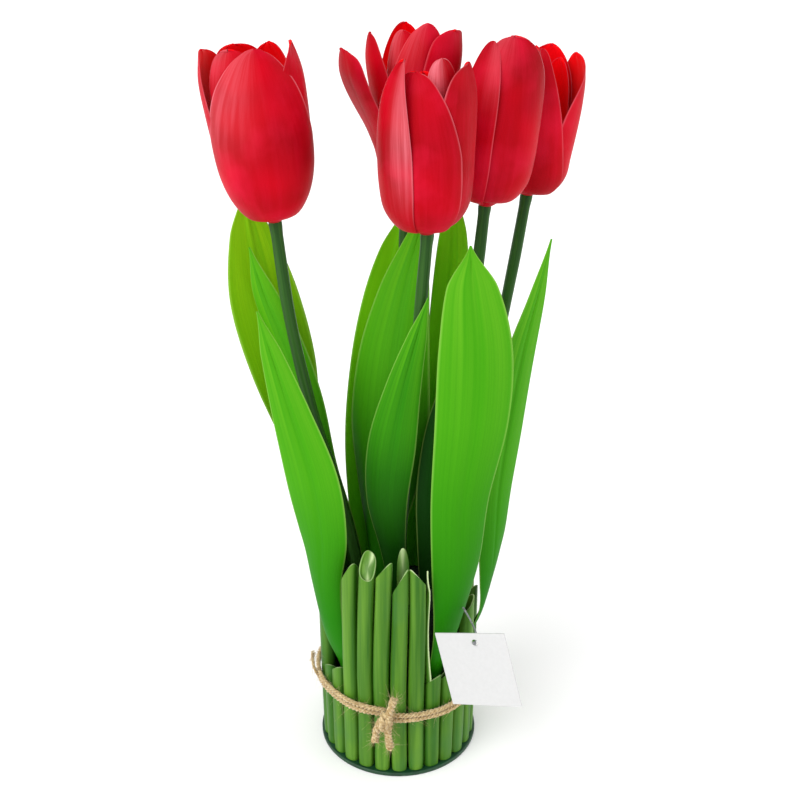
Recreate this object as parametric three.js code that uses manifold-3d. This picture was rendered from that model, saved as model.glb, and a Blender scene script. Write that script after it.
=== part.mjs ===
// An artificial tulip bunch that stands in its own pot: five red blooms on stems and ten leaves,
// set in a foam core that a ring of cut green stalks surrounds, tied with twine, with a blank card tag.
// Millimetres, +Z up, origin at the bottom centre of the base disc, front of the bunch towards -Y.
import * as THREE from "three";
import { mergeVertices } from "three/addons/utils/BufferGeometryUtils.js";
import Module from "manifold-3d";

const wasm = await Module();
wasm.setup();

// Driving dimensions of the holder
const DISC_RADIUS = 42.5;
const DISC_THICKNESS = 2.2;
const DISC_BEVEL = 0.4;
const FIT_GAP = 0.3; // between pieces that touch
const CORE_RADIUS = 30.8;
const CORE_TOP = 96;
const CORE_CHAMFER = 2;
const STALK_COUNT = 27;
const STALK_RING_RADIUS = 37.7; // to the middle of a stalk's foot
const STALK_DEEP = 3.8; // half of its section, from the middle of the ring outwards
const STALK_WIDE = 4.22; // half of its section, along the ring
const STALK_FLARE = 0.011; // outward lean of the ring, per mm of height
const STALK_LOWEST = 107; // of the tops that chance sets
const STALK_FOOT = DISC_THICKNESS + FIT_GAP;
const INNER_STALK = { at: [2.4, -24], radius: 3.1, foot: 60, low: 103, high: 127 };

// Twine: two turns round the ring, meeting at the knot
const TWINE_RADIUS = 1.25;
const TWINE_HEIGHT = 41;
const TWINE_PITCH = 2.9;
const TWINE_TURNS = 2;
const TWINE_RING = 43.7; // to the middle of the twine
const TWINE_SLANT = 1; // the ring of twine is higher on the left
const KNOT_ANGLE = -98.5;
const KNOT_LUMP = { at: [-7.2, -48, 40.5], half: [4.6, 2.6, 4.4] };
const KNOT_END_RADIUS = 2.1;
const KNOT_ENDS = [
  [[-6.5, -48.2, 40], [-4.4, -48.6, 47], [-2, -48.3, 55]],
  [[-6, -48.6, 41], [-5, -49.4, 33], [-4.2, -48.6, 24.5]],
  [[-8.5, -48, 41.5], [-11, -48.2, 35.5], [-11.8, -47.4, 28]],
];

// Stems, blooms and leaves
const STEM_RADIUS = 2.9;
const STEM_FOOT = 36; // height of the stems' feet in the core
const STEM_STEPS = 11;
const PETAL_THICKNESS = 0.8;
const LEAF_THICKNESS = 0.9;
const LEAF_STEPS = 13;
const LEAF_ACROSS = 4;

// The tag: a card of its own frame, x to its right and z up its face, with the hole near its top
const TAG = {
  at: [39.5, -52.6, 76.7],
  turned: [-2.6, -16.7, -25.9],
  width: 38,
  height: 40,
  thickness: 0.6,
  hole: [2, 15],
  holeRadius: 1.7,
};
const PIN = { radius: 0.5, headRadius: 1.05, anchor: [0.3, 0.5] };

const radians = THREE.MathUtils.degToRad;
const mix = THREE.MathUtils.lerp;
const clamp = THREE.MathUtils.clamp;
const smooth = THREE.MathUtils.smoothstep;

// A repeatable random number from 0 to 1 for each whole number
const chance = (n) => {
  const s = Math.sin(n * 12.9898 + 4.1414) * 43758.5453;
  return s - Math.floor(s);
};

// A smooth value through a few numbers spread evenly over 0..1
function along(values, t) {
  const last = values.length - 1;
  const s = clamp(t, 0, 1) * last;
  const i = Math.min(Math.floor(s), last - 1);
  const at = (k) => values[clamp(k, 0, last)];
  const [a, b, c, d] = [at(i - 1), at(i), at(i + 1), at(i + 2)];
  const f = s - i;
  return b + 0.5 * f * (c - a + f * (2 * a - 5 * b + 4 * c - d + f * (3 * (b - c) + d - a)));
}

// A closed thin sheet round the middle surface point(u, v), split into triangles alike on both faces,
// with its rows closer together towards the tip
function sheet(point, steps, across, thickness, closer = 1.3) {
  const rows = steps + 1;
  const cols = across + 1;
  const half = thickness / 2;
  const positions = [];
  const normal = new THREE.Vector3();
  const e = 1e-3;
  for (const side of [1, -1]) {
    for (let i = 0; i < rows; i++) {
      for (let j = 0; j < cols; j++) {
        const u = 1 - (1 - i / steps) ** closer;
        const v = (2 * j) / across - 1;
        const du = point(Math.min(u + e, 1), v).sub(point(Math.max(u - e, 0), v));
        const dv = point(u, Math.min(v + e, 1)).sub(point(u, Math.max(v - e, -1)));
        normal.crossVectors(du, dv).normalize();
        positions.push(...point(u, v).addScaledVector(normal, side * half).toArray());
      }
    }
  }
  const index = [];
  const at = (side, i, j) => side * rows * cols + i * cols + j;
  const quad = (a, b, c, d) => index.push(a, b, c, a, c, d);
  for (let i = 0; i < steps; i++) {
    for (let j = 0; j < across; j++) {
      quad(at(0, i, j), at(0, i + 1, j), at(0, i + 1, j + 1), at(0, i, j + 1));
      index.push(at(1, i, j), at(1, i + 1, j + 1), at(1, i + 1, j));
      index.push(at(1, i, j), at(1, i, j + 1), at(1, i + 1, j + 1));
    }
    quad(at(0, i, 0), at(1, i, 0), at(1, i + 1, 0), at(0, i + 1, 0));
    quad(at(0, i, across), at(0, i + 1, across), at(1, i + 1, across), at(1, i, across));
  }
  for (let j = 0; j < across; j++) {
    quad(at(0, 0, j), at(0, 0, j + 1), at(1, 0, j + 1), at(1, 0, j));
    quad(at(0, steps, j), at(1, steps, j), at(1, steps, j + 1), at(0, steps, j + 1));
  }
  const geometry = new THREE.BufferGeometry();
  geometry.setAttribute("position", new THREE.Float32BufferAttribute(positions, 3));
  return geometry.setIndex(index);
}

// A closed solid from rings of points, one above the other, with flat ends
function loft(rings) {
  const sides = rings[0].length;
  const positions = rings.flat().flatMap((p) => p.toArray());
  const index = [];
  for (let r = 0; r < rings.length - 1; r++) {
    for (let s = 0; s < sides; s++) {
      const n = (s + 1) % sides;
      const [a, b, c, d] = [r * sides + s, r * sides + n, (r + 1) * sides + n, (r + 1) * sides + s];
      index.push(a, b, c, a, c, d);
    }
  }
  const top = (rings.length - 1) * sides;
  for (let s = 1; s < sides - 1; s++) {
    index.push(0, s + 1, s);
    index.push(top, top + s, top + s + 1);
  }
  const geometry = new THREE.BufferGeometry();
  geometry.setAttribute("position", new THREE.Float32BufferAttribute(positions, 3));
  return geometry.setIndex(index);
}

const profile = (points) => points.map((p) => new THREE.Vector2(...p));
const route = (points) => new THREE.CatmullRomCurve3(points.map((p) => new THREE.Vector3(...p)));

// Joins and cuts
function solid(geometry) {
  const bare = new THREE.BufferGeometry();
  bare.setAttribute("position", geometry.getAttribute("position").clone());
  if (geometry.index) bare.setIndex(geometry.index.clone());
  const merged = mergeVertices(bare, 1e-4);
  return new wasm.Manifold(
    new wasm.Mesh({
      numProp: 3,
      vertProperties: new Float32Array(merged.attributes.position.array),
      triVerts: new Uint32Array(merged.index.array),
    }),
  );
}

function geometryOf(body) {
  const mesh = body.getMesh();
  const points = [];
  for (let i = 0; i < mesh.vertProperties.length; i += mesh.numProp) {
    points.push(...mesh.vertProperties.subarray(i, i + 3));
  }
  const geometry = new THREE.BufferGeometry();
  geometry.setAttribute("position", new THREE.Float32BufferAttribute(points, 3));
  geometry.setIndex([...mesh.triVerts]);
  return geometry;
}

// Finishes
const finish = (color, roughness) => new THREE.MeshStandardMaterial({ color, roughness, metalness: 0 });
const PETAL_RED = finish("#c4122c", 0.62);
const LEAF_GREEN = finish("#4a9a22", 0.5);
const STEM_GREEN = finish("#3c6b28", 0.6);
const STALK_GREEN = finish("#639b3a", 0.6);
const CORE_GREEN = finish("#173d1c", 0.95);
const DISC_GREEN = finish("#0c3a1c", 0.7);
const TWINE_TAN = finish("#c8a06a", 0.95);
const CARD_WHITE = finish("#f2f2f2", 0.7);
const PIN_GREY = finish("#6d6d6d", 0.4);

const group = new THREE.Group();
function add(name, geometry, material, parent = group) {
  const mesh = new THREE.Mesh(geometry, material);
  mesh.name = name;
  parent.add(mesh);
  return mesh;
}

// Leaves. Each blade follows a spine from its foot to its tip. Spread evenly along it, half gives its
// half width, curl the half angle of its channel in degrees, and facing the direction in degrees from
// +X that its outer face looks in. Four leaves stand between the core and the ring, the rest in the core.
const LEAVES = [
  {
    name: "leaf_front_left",
    spine: [[-27, -18.6, 34], [-27.4, -19, 50], [-34.2, -21, 72], [-38.5, -22, 105],
      [-38.5, -25.5, 135], [-42, -28, 168], [-51, -26, 204], [-59, -24, 234], [-64.3, -22, 253]],
    half: [7, 7.5, 8.3, 9.8, 13.2, 13.6, 9.5, 4.8, 0.4],
    curl: [9, 30, 40, 22, 14, 10], facing: [214, 222, 240, 256, 262, 262],
  },
  {
    name: "leaf_front_right",
    spine: [[19.8, -26, 34], [20.1, -26.6, 52], [26.6, -31.6, 84], [30, -31.5, 120], [31, -30, 158],
      [35.5, -27, 200], [36, -25, 235], [33.5, -23, 265], [32.4, -22, 284]],
    half: [4.8, 5.4, 9.4, 13.6, 15.2, 18.2, 17.4, 11.5, 0.4],
    curl: [8, 40, 36, 22, 15, 12], facing: [307, 312, 290, 278, 272, 270],
  },
  {
    name: "leaf_centre_front",
    spine: [[1, -15, 60], [0, -15, 92], [-3, -14.5, 120], [-6, -14.5, 150], [-3.5, -14.5, 180],
      [2.5, -14.5, 212], [9, -14.5, 238], [14, -15, 257]],
    half: [4.5, 5, 7, 11, 12.2, 8.5, 4.4, 0.4],
    curl: [60, 48, 30, 18, 12], facing: [262, 262],
  },
  {
    name: "leaf_centre_left",
    spine: [[-8, -2, 60], [-9, -1, 92], [-9, 0, 122], [-7.5, 3, 152], [-6, 6, 182], [-3, 9, 218],
      [3, 12, 252], [9, 14.5, 276], [13, 16, 294]],
    half: [5, 7, 12, 18.5, 21.5, 18.5, 12.5, 6, 0.4],
    curl: [70, 55, 32, 20, 14], facing: [250, 255],
  },
  {
    name: "leaf_centre_shade",
    spine: [[16, -11, 60], [17, -10, 92], [18.5, -9, 122], [20, -7, 152], [22, -5, 182],
      [25, -4, 206], [28, -3, 226]],
    half: [4.5, 6, 9, 11, 9, 5, 0.4],
    curl: [60, 48, 30, 18, 12], facing: [285, 280],
  },
  {
    name: "leaf_back_centre",
    spine: [[7, 12, 60], [8, 13, 92], [12, 16, 128], [19, 21, 170], [23.5, 25, 212], [26, 28, 248],
      [27, 30, 276], [27, 31, 298]],
    half: [5, 6, 8, 9, 9.5, 9, 6.5, 0.4],
    curl: [60, 48, 30, 18, 12], facing: [80, 85],
  },
  {
    name: "leaf_back_left",
    spine: [[-14, 14, 60], [-16, 16, 92], [-17, 20, 128], [-15.5, 25, 168], [-11, 31, 208],
      [-6, 36, 240], [-1, 40, 264], [4, 43, 285]],
    half: [5, 7, 10.5, 13.5, 14, 12, 8, 0.4],
    curl: [60, 48, 30, 18, 12], facing: [100, 95],
  },
  {
    name: "leaf_left_outer",
    spine: [[-32.1, 5.5, 40], [-32.6, 5.6, 82], [-34.6, 6, 116], [-42.5, 10, 144], [-51, 15, 174],
      [-59, 18, 212], [-67, 21, 248], [-71.5, 22.5, 278], [-74, 23, 298]],
    half: [4.6, 5.2, 6.4, 10, 13, 17.6, 17, 10, 0.4],
    curl: [8, 9, 30, 22, 15, 12], facing: [170, 168, 145, 120, 110, 108],
  },
  {
    name: "leaf_left_inner",
    spine: [[-20, 10, 60], [-21.5, 9.8, 92], [-27.5, 8.2, 122], [-37, 8.4, 156], [-46.5, 9.5, 195],
      [-57, 9.5, 228], [-65, 9.5, 252], [-70.3, 9, 274]],
    half: [3.6, 4.4, 6, 7.5, 10, 9.8, 6.5, 0.4],
    curl: [60, 48, 30, 18, 12], facing: [215, 225, 240, 250],
  },
  {
    name: "leaf_right",
    spine: [[32.3, -4.8, 40], [32.6, -5, 54], [43.4, -6, 78], [48, -6.6, 101], [49.6, -6.4, 122],
      [50.6, -4.5, 150], [54.4, -2, 184], [60, 1.5, 222], [66.7, 4.5, 252], [72, 6, 279]],
    half: [4, 3.6, 3.5, 8, 9.4, 10.4, 10.8, 9.5, 5, 0.4],
    curl: [8, 30, 34, 20, 15, 12], facing: [351, 349, 318, 302, 304, 306],
  },
];

// The middle surface of a blade: an arc across the spine whose edges bend to the inner side.
// A slot for it is a little wider and deeper.
const NARROWEST = 0.4; // half width of a blade's tip
function blade(leaf, widen = 0, deeper = 0) {
  const curve = route(leaf.spine);
  return (t, v) => {
    const s = curve.getPoint(t);
    if (deeper) s.z -= deeper * (1 - smooth(t, 0, 0.1));
    const tangent = curve.getTangent(t);
    const angle = radians(along(leaf.facing, t));
    const out = new THREE.Vector3(Math.cos(angle), Math.sin(angle), 0);
    const wide = new THREE.Vector3().crossVectors(tangent, out).normalize();
    out.crossVectors(wide, tangent).normalize();
    const half = Math.max(along(leaf.half, t), NARROWEST) + widen;
    const curl = radians(along(leaf.curl, t));
    const reach = half / curl;
    return s
      .addScaledVector(wide, reach * Math.sin(curl * v))
      .addScaledVector(out, -reach * (1 - Math.cos(curl * v)));
  };
}

// Stems, each from its foot in the core to the bottom of its bloom, and the blooms on them.
// A bloom has its height and radius and six petals, each with the direction it stands in, its half
// angle, how far it leans out, its length as a share of the bloom's height, how far it lies inside the
// others, how far one edge stands out and the other in, the two powers that shape its tip, and how far
// that moves to one side. A petal with a bend of its own is flatter, and widest is where it narrows.
const TULIPS = [
  {
    name: "left",
    stem: [[-19, 3, STEM_FOOT], [-21, 3, 96], [-29, 2, 140], [-43.5, 0.5, 195], [-52.5, 0, 242],
      [-57.6, 0, 288]],
    axis: [-0.1, -0.02, 1], height: 75, radius: 22.6,
    radii: [0.22, 0.52, 0.79, 0.95, 1, 0.98, 0.92, 0.77],
    petals: [
      { at: 274, half: 83, open: 0, length: 1.04, inset: 0, lap: 0, tip: [1.15, 0.55], skew: 0.12 },
      { at: 165, half: 50, open: 5.6, length: 1.02, inset: 1.6, lap: 0, tip: [4.8, 0.5], skew: 0.2 },
      { at: 338, half: 47, open: 2.6, length: 1.02, inset: 2.2, lap: 1, tip: [2.4, 0.6], skew: 0.6 },
      { at: 243, half: 46, open: -0.5, length: 1.03, inset: 2, lap: -0.4, tip: [4.8, 0.5], skew: 0 },
      { at: 58, half: 62, open: -1, length: 1, inset: 3, lap: 1.1, tip: [2.4, 0.6], skew: 0 },
      { at: 130, half: 60, open: -1, length: 1, inset: 4, lap: 1.1, tip: [4.8, 0.5], skew: 0 },
    ],
  },
  {
    name: "front",
    stem: [[-0.5, -2, STEM_FOOT], [0.5, -3, 96], [3, -4, 150], [7, -6.5, 200], [10.5, -9, 246],
      [13.8, -13, 286]],
    axis: [-0.035, -0.03, 1], height: 72, radius: 21.8,
    petals: [
      { at: 222, half: 31, open: 1, length: 1.08, inset: 0.6, lap: 0, tip: [1.3, 0.62], skew: 0.75 },
      { at: 257, half: 65, open: -1.2, length: 1, inset: 1.4, lap: 3.4, tip: [1.2, 0.5], skew: 0 },
      { at: 340, half: 52, open: 4, length: 1.01, inset: 2, lap: 2.4, tip: [4.8, 0.5], skew: 0.25 },
      { at: 312, half: 38, open: -1, length: 1.02, inset: 5.4, lap: 1.4, tip: [3.2, 0.5], skew: 0 },
      { at: 90, half: 62, open: -3, length: 0.93, inset: 1.6, lap: 1.2, tip: [2.4, 0.6], skew: 0 },
      { at: 160, half: 54, open: -3, length: 0.95, inset: 2.4, lap: 1.2, tip: [2.4, 0.6], skew: 0 },
    ],
  },
  {
    name: "back",
    stem: [[-3, 17, STEM_FOOT], [-2, 18, 96], [0, 21, 150], [2, 24, 210], [3, 29, 255],
      [3.5, 34, 292]],
    axis: [0.035, 0, 1], height: 76, radius: 17,
    petals: [
      { at: 216, half: 40, open: 24, length: 0.87, inset: 3, lap: 0, tip: [10, 0.5], skew: -0.9, bend: 30 },
      { at: 204, half: 60, open: 11.5, length: 0.95, inset: 4.4, lap: 0.6, tip: [3, 0.55], skew: 0.1 },
      { at: 289, half: 56, open: 4, length: 1.055, inset: 0, lap: 1, tip: [2.4, 0.55], skew: 0.15 },
      { at: 327, half: 58, open: 11, length: 1.01, inset: 1.4, lap: 1.5, tip: [4.8, 0.5], skew: 0, bend: 15 },
      { at: 250, half: 50, open: 2, length: 0.96, inset: 5.6, lap: 0.6, tip: [4.8, 0.5], skew: 0 },
      { at: 104, half: 50, open: 1, length: 1.01, inset: 1.2, lap: 1.1, tip: [2.4, 0.55], skew: 0 },
    ],
  },
  {
    name: "right",
    stem: [[18, 0, STEM_FOOT], [20, 0.5, 96], [26, 4, 150], [33, 9, 210], [38, 14, 260],
      [41, 17.5, 291]],
    axis: [0.11, 0, 1], height: 75, radius: 20.8,
    petals: [
      { at: 237, half: 27, open: -1, length: 0.995, inset: 0, lap: 0.6, tip: [2.4, 0.5], skew: 0.1 },
      { at: 288, half: 66, open: -1, length: 1.03, inset: 1.4, lap: 1.4, tip: [2.2, 0.5], skew: -0.2 },
      { at: 20, half: 54, open: -1, length: 0.96, inset: 1.2, lap: 1.1, tip: [2.4, 0.6], skew: 0 },
      { at: 90, half: 46, open: -3, length: 0.94, inset: 2.4, lap: 1.1, tip: [2.4, 0.6], skew: 0 },
      { at: 140, half: 52, open: -4, length: 0.92, inset: 4.6, lap: -1.1, tip: [2.4, 0.6], skew: 0 },
      { at: 184, half: 46, open: -3, length: 0.88, inset: 2, lap: -1.1, tip: [2.4, 0.6], skew: 0 },
    ],
  },
  {
    name: "far_right",
    stem: [[20, 9, STEM_FOOT], [22, 11, 96], [25.5, 15, 118], [34, 25, 150], [48, 36, 200],
      [57.6, 44, 252], [63, 50, 288]],
    axis: [0.125, 0.02, 1], height: 71, radius: 19.4,
    radii: [0.22, 0.7, 0.97, 1, 1, 0.98, 0.92, 0.77],
    petals: [
      { at: 248, half: 76, open: 0, length: 0.99, inset: 0, lap: 0.6, tip: [1, 0.65], skew: 0, widest: 0.25 },
      { at: 9, half: 70, open: 2.5, length: 0.95, inset: 1.4, lap: 0.8,
        tip: [2.8, 0.7], skew: 0.4, widest: 0.4 },
      { at: 84, half: 62, open: 0, length: 0.97, inset: 2.8, lap: 1.1, tip: [2.4, 0.6], skew: 0 },
      { at: 165, half: 54, open: 0, length: 0.92, inset: 1.4, lap: -1.1, tip: [2.4, 0.6], skew: 0 },
      { at: 205, half: 46, open: -3, length: 0.92, inset: 4.2, lap: 1.1, tip: [2.4, 0.6], skew: 0 },
      { at: 50, half: 46, open: -2, length: 0.88, inset: 4.6, lap: 1.1, tip: [2.4, 0.6], skew: 0 },
    ],
  },
];

// Radius and height of a petal's middle line, from its root at u 0 to its tip at u 1
const PETAL_RADII = [0.22, 0.6, 0.9, 0.99, 1, 0.98, 0.92, 0.77];
const PETAL_HEIGHTS = [0.03, 0.035, 0.145, 0.3, 0.48, 0.66, 0.84, 1];
const PETAL_WIDEST = 0.58;
const PETAL_BEND = 9; // least radius of the arc across a petal
const PETAL_LIFT = 0.6; // how much higher a petal starts for each mm that it lies further in
const WIDE_PETAL = { from: 62, steps: 8, across: 6 };
const NARROW_PETAL = { steps: 7, across: 4 };
const CUP = [[0, -2], [3.2, -1], [6.8, 2.2], [5.6, 5], [0, 6.4]]; // holds the petals' roots

function petal(bloom, own) {
  const turn = radians(own.at);
  const half = radians(own.half);
  const widest = own.widest ?? PETAL_WIDEST;
  return (u, v) => {
    const height = along(PETAL_HEIGHTS, u) * bloom.height * own.length + PETAL_LIFT * own.inset;
    const flare = own.open * smooth(u, 0.2, 1) ** 1.5;
    const radius = along(bloom.radii ?? PETAL_RADII, u) * (bloom.radius - own.inset);
    const above = (1 - clamp((u - widest) / (1 - widest), 0, 1) ** own.tip[0]) ** own.tip[1];
    const shape = mix(0.84, 1, smooth(u, 0.05, 0.42)) * above;
    const spread = Math.max(half * shape, 0.02);
    const bend = Math.max(radius, PETAL_BEND, (own.bend ?? 0) * smooth(u, 0.1, 0.8));
    const angle = ((spread * v + half * own.skew * (1 - above)) * Math.min(radius + 2, bend)) / bend;
    const out = radius - bend + bend * Math.cos(angle) + own.lap * v * smooth(u, -0.05, 0.2) * shape + flare;
    const side = bend * Math.sin(angle);
    return new THREE.Vector3(
      out * Math.cos(turn) - side * Math.sin(turn),
      out * Math.sin(turn) + side * Math.cos(turn),
      height,
    );
  };
}

function bloomGeometry(bloom) {
  let body = solid(new THREE.LatheGeometry(profile(CUP), 9).rotateX(Math.PI / 2));
  for (const own of bloom.petals) {
    const { steps, across } = own.half >= WIDE_PETAL.from ? WIDE_PETAL : NARROW_PETAL;
    body = body.add(solid(sheet(petal(bloom, own), steps, across, PETAL_THICKNESS)));
  }
  return geometryOf(body);
}

// A tube along a path
function tube(path, radius, steps, sides = 10) {
  const rim = [];
  for (let s = 0; s < sides; s++) {
    const a = (s / sides) * Math.PI * 2;
    rim.push(new THREE.Vector2(radius * Math.cos(a), radius * Math.sin(a)));
  }
  return new THREE.ExtrudeGeometry(new THREE.Shape(rim), { extrudePath: path, steps, bevelEnabled: false });
}

for (const tulip of TULIPS) {
  add("stem_" + tulip.name, tube(route(tulip.stem), STEM_RADIUS, STEM_STEPS), STEM_GREEN);
  const head = new THREE.Group();
  head.position.set(...tulip.stem.at(-1));
  const axis = new THREE.Vector3(...tulip.axis).normalize();
  head.quaternion.setFromUnitVectors(new THREE.Vector3(0, 0, 1), axis);
  head.translateZ(FIT_GAP - CUP[0][1]);
  group.add(head);
  add("bloom_" + tulip.name, bloomGeometry(tulip), PETAL_RED, head);
}

for (const leaf of LEAVES) {
  add(leaf.name, sheet(blade(leaf), LEAF_STEPS, LEAF_ACROSS, LEAF_THICKNESS), LEAF_GREEN);
}

// The ring of cut stalks, numbered round from the back. A cut on top is slanted: it rises by across
// over the stalk's width, to the right as seen from outside, and by back over its depth, to the core.
// A stalk in front of a leaf that leaves the ring is cut short.
const FRONT_ANGLE = 270.5; // of the stalk in the middle of the front
const FRONT_STALK = 14;
const CUTS = {
  9: { height: 50, across: 6, back: -6, lean: 0 },
  10: { height: 54, across: 7, back: -6, lean: 0 },
  11: { height: 117, across: 16, back: -7, lean: 0.02 },
  12: { height: 126, across: -3, back: 13, lean: 0.035 },
  13: { height: 124, across: 11, back: -6, lean: 0.025 },
  14: { height: 118, across: 15, back: -7, lean: 0.01 },
  15: { height: 120, across: -11, back: -5, lean: 0 },
  16: { height: 56, across: 3, back: -7, lean: 0 },
  17: { height: 57, across: 5, back: -7, lean: 0 },
  18: { height: 64, across: 12, back: -5, lean: 0 },
  19: { height: 90, across: 6, back: -6, lean: -0.01 },
  20: { height: 52, across: -6, back: -6, lean: 0 },
  21: { height: 86, across: -8, back: -6, lean: 0.01 },
};

function stalkShape(number) {
  const cut = CUTS[number] ?? {
    height: STALK_LOWEST + 8 * chance(number),
    across: 22 * (chance(number + 40) - 0.5),
    back: -8 * chance(number + 80),
    lean: 0.02 * (chance(number + 120) - 0.5),
  };
  const turn = radians(FRONT_ANGLE + ((number - FRONT_STALK) * 360) / STALK_COUNT);
  const plump = 1 - 0.05 * chance(number + 160);
  return { ...cut, turn, plump };
}

// A point of the ring: wide along the ring and deep outwards from the middle of stalk turn, at height z
function inRing(turn, wide, deep, z) {
  const out = STALK_RING_RADIUS + STALK_FLARE * z + deep;
  const side = turn + wide / STALK_RING_RADIUS;
  return new THREE.Vector3(out * Math.cos(side), out * Math.sin(side), z);
}

// A stalk's section is a rounded square, a little narrower at its foot and its top
function stalkGeometry(number) {
  const { height, across, back, lean, turn, plump } = stalkShape(number);
  const squared = (value) => Math.sign(value) * Math.abs(value) ** 0.8;
  const levels = 4;
  const sides = 8;
  const rings = [];
  for (let level = 0; level < levels; level++) {
    const ring = [];
    for (let side = 0; side < sides; side++) {
      const a = (-side / sides) * Math.PI * 2;
      const wide = plump * squared(Math.sin(a));
      const deep = -squared(Math.cos(a));
      const top = height + (across * wide) / 2 - (back * deep) / 2;
      const z = mix(STALK_FOOT, top, level / (levels - 1));
      const swell = 1 - 0.04 * smooth(z, 60, 120) - 0.05 * (1 - smooth(z, 2, 9));
      const leant = lean * Math.max(z - 60, 0);
      ring.push(inRing(turn, STALK_WIDE * wide * swell + leant, STALK_DEEP * deep * swell, z));
    }
    rings.push(ring);
  }
  return loft(rings);
}

// One short stalk keeps a strip of its left wall, curved like the stalk, that rises behind its cut
const SHEATH_STALK = 16;
const SHEATH = { foot: 48, top: 117, radius: 3.3, thickness: 0.7 };

function sheathGeometry() {
  const { turn } = stalkShape(SHEATH_STALK);
  const strip = (u, v) => {
    const z = mix(SHEATH.foot, SHEATH.top, u) - 5 * u * v;
    const around = radians(180 - (62 - 34 * u) * v);
    const bulge = 1.1 * Math.sin(Math.PI * clamp(u * 1.25 - 0.15, 0, 1));
    return inRing(turn, SHEATH.radius * Math.cos(around) - bulge, SHEATH.radius * Math.sin(around), z);
  };
  return sheet(strip, 7, 4, SHEATH.thickness, 1);
}

for (let number = 1; number <= STALK_COUNT; number++) {
  const stalk = stalkGeometry(number);
  const whole = number === SHEATH_STALK ? geometryOf(solid(stalk).add(solid(sheathGeometry()))) : stalk;
  add("stalk_" + String(number).padStart(2, "0"), whole, STALK_GREEN);
}

// A stalk of its own inside the ring, stuck in the core, whose steep white cut faces the front
function innerStalkGeometry(grow = 0, foot = INNER_STALK.foot) {
  const sides = 8;
  const ring = (height) => Array.from({ length: sides }, (_, side) => {
    const a = (side / sides) * Math.PI * 2;
    const r = INNER_STALK.radius + grow;
    return new THREE.Vector3(
      INNER_STALK.at[0] + r * Math.cos(a),
      INNER_STALK.at[1] + r * Math.sin(a),
      height(Math.sin(a)),
    );
  });
  const { low, high } = INNER_STALK;
  return loft([ring(() => foot), ring(() => low - 4), ring((back) => mix(low, high, (1 + back) / 2))]);
}
add("inner_stalk", innerStalkGeometry(), STALK_GREEN);

// Base disc and foam core
function discGeometry() {
  const half = [
    [0, 0],
    [DISC_RADIUS - DISC_BEVEL, 0],
    [DISC_RADIUS, DISC_BEVEL],
    [DISC_RADIUS, DISC_THICKNESS],
    [0, DISC_THICKNESS],
  ];
  return new THREE.LatheGeometry(profile(half), 48).rotateX(Math.PI / 2);
}
add("base_disc", discGeometry(), DISC_GREEN);

function coreGeometry() {
  const half = [
    [0, STALK_FOOT],
    [CORE_RADIUS, STALK_FOOT],
    [CORE_RADIUS, CORE_TOP - CORE_CHAMFER],
    [CORE_RADIUS - CORE_CHAMFER, CORE_TOP],
    [0, CORE_TOP],
  ];
  let body = solid(new THREE.LatheGeometry(profile(half), 36).rotateX(Math.PI / 2));
  for (const tulip of TULIPS) {
    body = body.subtract(solid(tube(route(tulip.stem), STEM_RADIUS + FIT_GAP, STEM_STEPS)));
  }
  for (const leaf of LEAVES) {
    const inside = Math.hypot(leaf.spine[1][0], leaf.spine[1][1]) < CORE_RADIUS - 2;
    if (!inside) continue;
    const slot = sheet(blade(leaf, FIT_GAP, 0.5), LEAF_STEPS, LEAF_ACROSS, LEAF_THICKNESS + 2 * FIT_GAP);
    body = body.subtract(solid(slot));
  }
  body = body.subtract(solid(innerStalkGeometry(FIT_GAP, INNER_STALK.foot - FIT_GAP)));
  return geometryOf(body);
}
add("foam_core", coreGeometry(), CORE_GREEN);

// Twine: a helix of two turns round the ring that starts and ends under the knot
class Winding extends THREE.Curve {
  getPoint(t, target = new THREE.Vector3()) {
    const turn = radians(KNOT_ANGLE + TWINE_TURNS * 360 * t);
    const z = TWINE_HEIGHT + TWINE_PITCH * TWINE_TURNS * (t - 0.5) - TWINE_SLANT * Math.cos(turn);
    return target.set(TWINE_RING * Math.cos(turn), TWINE_RING * Math.sin(turn), z);
  }
}
add("twine", tube(new Winding(), TWINE_RADIUS, 60, 6), TWINE_TAN);

// The knot lies on the turns of the twine: a lump with three cut ends
function knotGeometry() {
  const middle = new THREE.SphereGeometry(1, 8, 5).scale(...KNOT_LUMP.half).translate(...KNOT_LUMP.at);
  let body = solid(middle);
  for (const end of KNOT_ENDS) {
    body = body.add(solid(tube(route(end), KNOT_END_RADIUS, 3, 6)));
  }
  return geometryOf(body);
}
add("twine_knot", knotGeometry(), TWINE_TAN);

// The blank card tag hangs on a bendy pin that is stuck in the base of the front right leaf
const tag = new THREE.Group();
tag.position.set(...TAG.at);
tag.rotation.set(...TAG.turned.map(radians), "ZYX");
group.add(tag);
tag.updateMatrixWorld(true);

function cardGeometry() {
  const [x, z] = [TAG.width / 2, TAG.height / 2];
  const outline = new THREE.Shape(profile([[-x, -z], [x, -z], [x, z], [-x, z]]));
  outline.holes.push(new THREE.Path().absarc(...TAG.hole, TAG.holeRadius, 0, Math.PI * 2, true));
  const settings = { depth: TAG.thickness, bevelEnabled: false, curveSegments: 8 };
  const card = new THREE.ExtrudeGeometry(outline, settings);
  return card.translate(0, 0, -TAG.thickness / 2).rotateX(Math.PI / 2);
}
add("hang_tag", cardGeometry(), CARD_WHITE, tag);

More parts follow.
